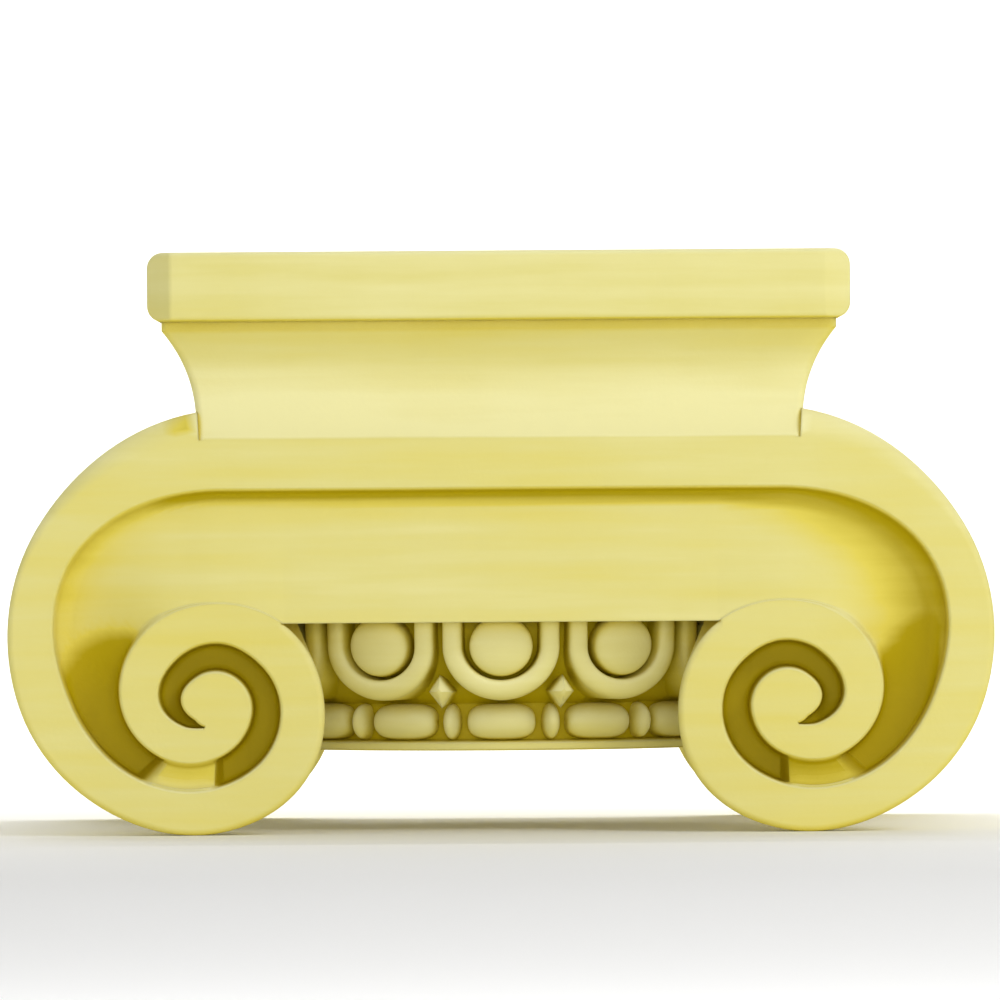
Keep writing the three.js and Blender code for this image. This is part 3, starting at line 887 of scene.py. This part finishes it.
def plasterWithPaintedShading():
    material = bpy.data.materials.new("plasterWithPaintedShading")
    material.use_nodes = True
    nodes, links = material.node_tree.nodes, material.node_tree.links
    shader = nodes["Principled BSDF"]
    # painted light and shade, with random patches of the cast's own tone
    shading = nodes.new("ShaderNodeGroup")
    shading.node_tree = settledGlazeGroup()
    surface = nodes.new("ShaderNodeGroup")
    surface.node_tree = castSurfaceGroup()
    mottle = mathNode(nodes, links, "SUBTRACT", surface.outputs["Mottle"], 0.5)
    mottle = mathNode(nodes, links, "MULTIPLY", mottle, plaster["mottle"])
    soft = nodes.new("ShaderNodeBevel")
    soft.samples = 2
    soft.inputs["Radius"].default_value = plaster["edgeRadius"]
    facing = nodes.new("ShaderNodeNewGeometry")
    alike = nodes.new("ShaderNodeVectorMath")
    alike.operation = "DOT_PRODUCT"
    links.new(soft.outputs["Normal"], alike.inputs[0])
    links.new(facing.outputs["Normal"], alike.inputs[1])
    # paler along edges: wear, and a painted highlight on the rounded arrises
    edge = mathNode(nodes, links, "SUBTRACT", 1.0, alike.outputs["Value"])
    edgeWearAndHighlight = mathNode(nodes, links, "MULTIPLY", edge, plaster["edgeWearAndHighlight"])
    amount = mathNode(nodes, links, "ADD", shading.outputs["Glaze"], mottle)
    amount = mathNode(nodes, links, "ADD", amount, edgeWearAndHighlight)
    amount = mathNode(nodes, links, "ADD", amount, plaster["everywhere"], True)
    # tone ramp from pale, painted light, through cream and ochre to deep, painted shade
    tones = nodes.new("ShaderNodeValToRGB")
    stops, steps = plaster["toneStops"], tones.color_ramp.elements
    for step, tone in zip(list(steps), ("pale", "deepShade")):
        step.position, step.color = stops[tone], plaster[tone]
    for tone in ("cream", "ochre"):
        steps.new(stops[tone]).color = plaster[tone]
    links.new(amount, tones.inputs["Fac"])
    links.new(tones.outputs["Color"], shader.inputs["Base Color"])
    rough = mathNode(nodes, links, "MULTIPLY", amount, plaster["toneShine"])
    rough = mathNode(nodes, links, "ADD", rough, plaster["roughness"])
    links.new(rough, shader.inputs["Roughness"])
    shader.inputs["Specular IOR Level"].default_value = plaster["gloss"]
    bump = nodes.new("ShaderNodeBump")
    bump.inputs["Strength"].default_value = plaster["bumpStrength"]
    bump.inputs["Distance"].default_value = plaster["bumpHeight"]
    links.new(surface.outputs["Height"], bump.inputs["Height"])
    links.new(soft.outputs["Normal"], bump.inputs["Normal"])
    links.new(bump.outputs["Normal"], shader.inputs["Normal"])
    return material


capitalCast.data.materials.clear()
capitalCast.data.materials.append(plasterWithPaintedShading())
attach(capitalCast, "root")
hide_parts("capital")
print("plaster finish on")


# Floor, lights and camera

# metres, watts and degrees
studio = {
    "floor": (0.97, 0.97, 0.965, 1),
    "sweepFront": -8.0,
    "sweepBend": 1.6,         # where the paper starts to turn up
    "sweepRadius": 1.2,
    "sweepTop": 5.0,
    "sweepHalfWidth": 6.0,
    "skyStrength": 0.44,
    # place, aim, size, power and colour
    "lights": {
        "keyLight": ((2.0, -1.95, 1.9), (0, 0, 0.15), (1.5, 1.5), 30.0, (1, 0.99, 0.96)),
        "fillLight": ((0.1, -3.2, 0.12), (0, 0, 0.1), (1.6, 0.9), 37.0, (1, 1, 1)),
        "backdropLight": ((0, 0.9, 2.2), (0, 2.8, 0.7), (3.0, 0.8), 70.0, (1, 1, 1)),
    },
    "sensorWidth": 36.0,
    "cameraDistance": 6.0,
    "frameWidth": 0.506,      # width that the image spans at the volute faces
    "frameCentre": (0.0, 0.1688),
    "roll": 0.4,
}


def buildFloor():
    bend, radius, half = studio["sweepBend"], studio["sweepRadius"], studio["sweepHalfWidth"]
    profile = [(studio["sweepFront"], 0.0), (bend, 0.0)]
    for angle in angleSteps(0, 90, 6):
        profile.append((bend + radius * sinDeg(angle), radius * (1 - cosDeg(angle))))
    profile.append((bend + radius, studio["sweepTop"]))
    points, faces = [], []
    for y, z in profile:
        points += [(-half, y, z), (half, y, z)]
    for i in range(len(profile) - 1):
        a = i * 2
        faces.append((a, a + 1, a + 3, a + 2))
    mesh = bpy.data.meshes.new("studioSweep")
    mesh.from_pydata(points, [], faces)
    sweep = bpy.data.objects.new("studioSweep", mesh)
    bpy.context.scene.collection.objects.link(sweep)
    for face in mesh.polygons:
        face.use_smooth = True
    paper = bpy.data.materials.new("palePaper")
    paper.use_nodes = True
    nodes, links = paper.node_tree.nodes, paper.node_tree.links
    shader = nodes["Principled BSDF"]
    shader.inputs["Base Color"].default_value = studio["floor"]
    shader.inputs["Roughness"].default_value = 0.9
    # seen from its back the paper is clear, so the cast can be looked at from every side
    side = nodes.new("ShaderNodeNewGeometry")
    clear = nodes.new("ShaderNodeBsdfTransparent")
    either = nodes.new("ShaderNodeMixShader")
    links.new(side.outputs["Backfacing"], either.inputs["Fac"])
    links.new(shader.outputs["BSDF"], either.inputs[1])
    links.new(clear.outputs["BSDF"], either.inputs[2])
    links.new(either.outputs["Shader"], nodes["Material Output"].inputs["Surface"])
    mesh.materials.append(paper)


def addLight(name, place, aim, size, power, colour):
    data = bpy.data.lights.new(name, "AREA")
    data.shape = "RECTANGLE"
    data.size, data.size_y = size
    data.energy = power
    data.color = colour
    lamp = bpy.data.objects.new(name, data)
    lamp.location = place
    lamp.rotation_euler = (Vector(aim) - Vector(place)).to_track_quat("-Z", "Y").to_euler()
    bpy.context.scene.collection.objects.link(lamp)


def buildLights():
    world = bpy.data.worlds.new("studioSky")
    bpy.context.scene.world = world
    world.use_nodes = True
    sky = world.node_tree.nodes["Background"]
    sky.inputs["Color"].default_value = (1, 1, 1, 1)
    sky.inputs["Strength"].default_value = studio["skyStrength"]
    for name, settings in studio["lights"].items():
        addLight(name, *settings)


def buildCamera():
    data = bpy.data.cameras.new("viewCamera")
    data.sensor_width = studio["sensorWidth"]
    data.lens = studio["sensorWidth"] * studio["cameraDistance"] / studio["frameWidth"]
    data.clip_end = 50
    camera = bpy.data.objects.new("viewCamera", data)
    x, z = studio["frameCentre"]
    camera.location = (x, -volute["halfFace"] / 1000 - studio["cameraDistance"], z)
    camera.rotation_euler = (math.radians(90), math.radians(studio["roll"]), 0)
    bpy.context.scene.collection.objects.link(camera)
    bpy.context.scene.camera = camera


buildFloor()
buildLights()
buildCamera()
bpy.context.scene.view_settings.view_transform = "Standard"
print("studio set")
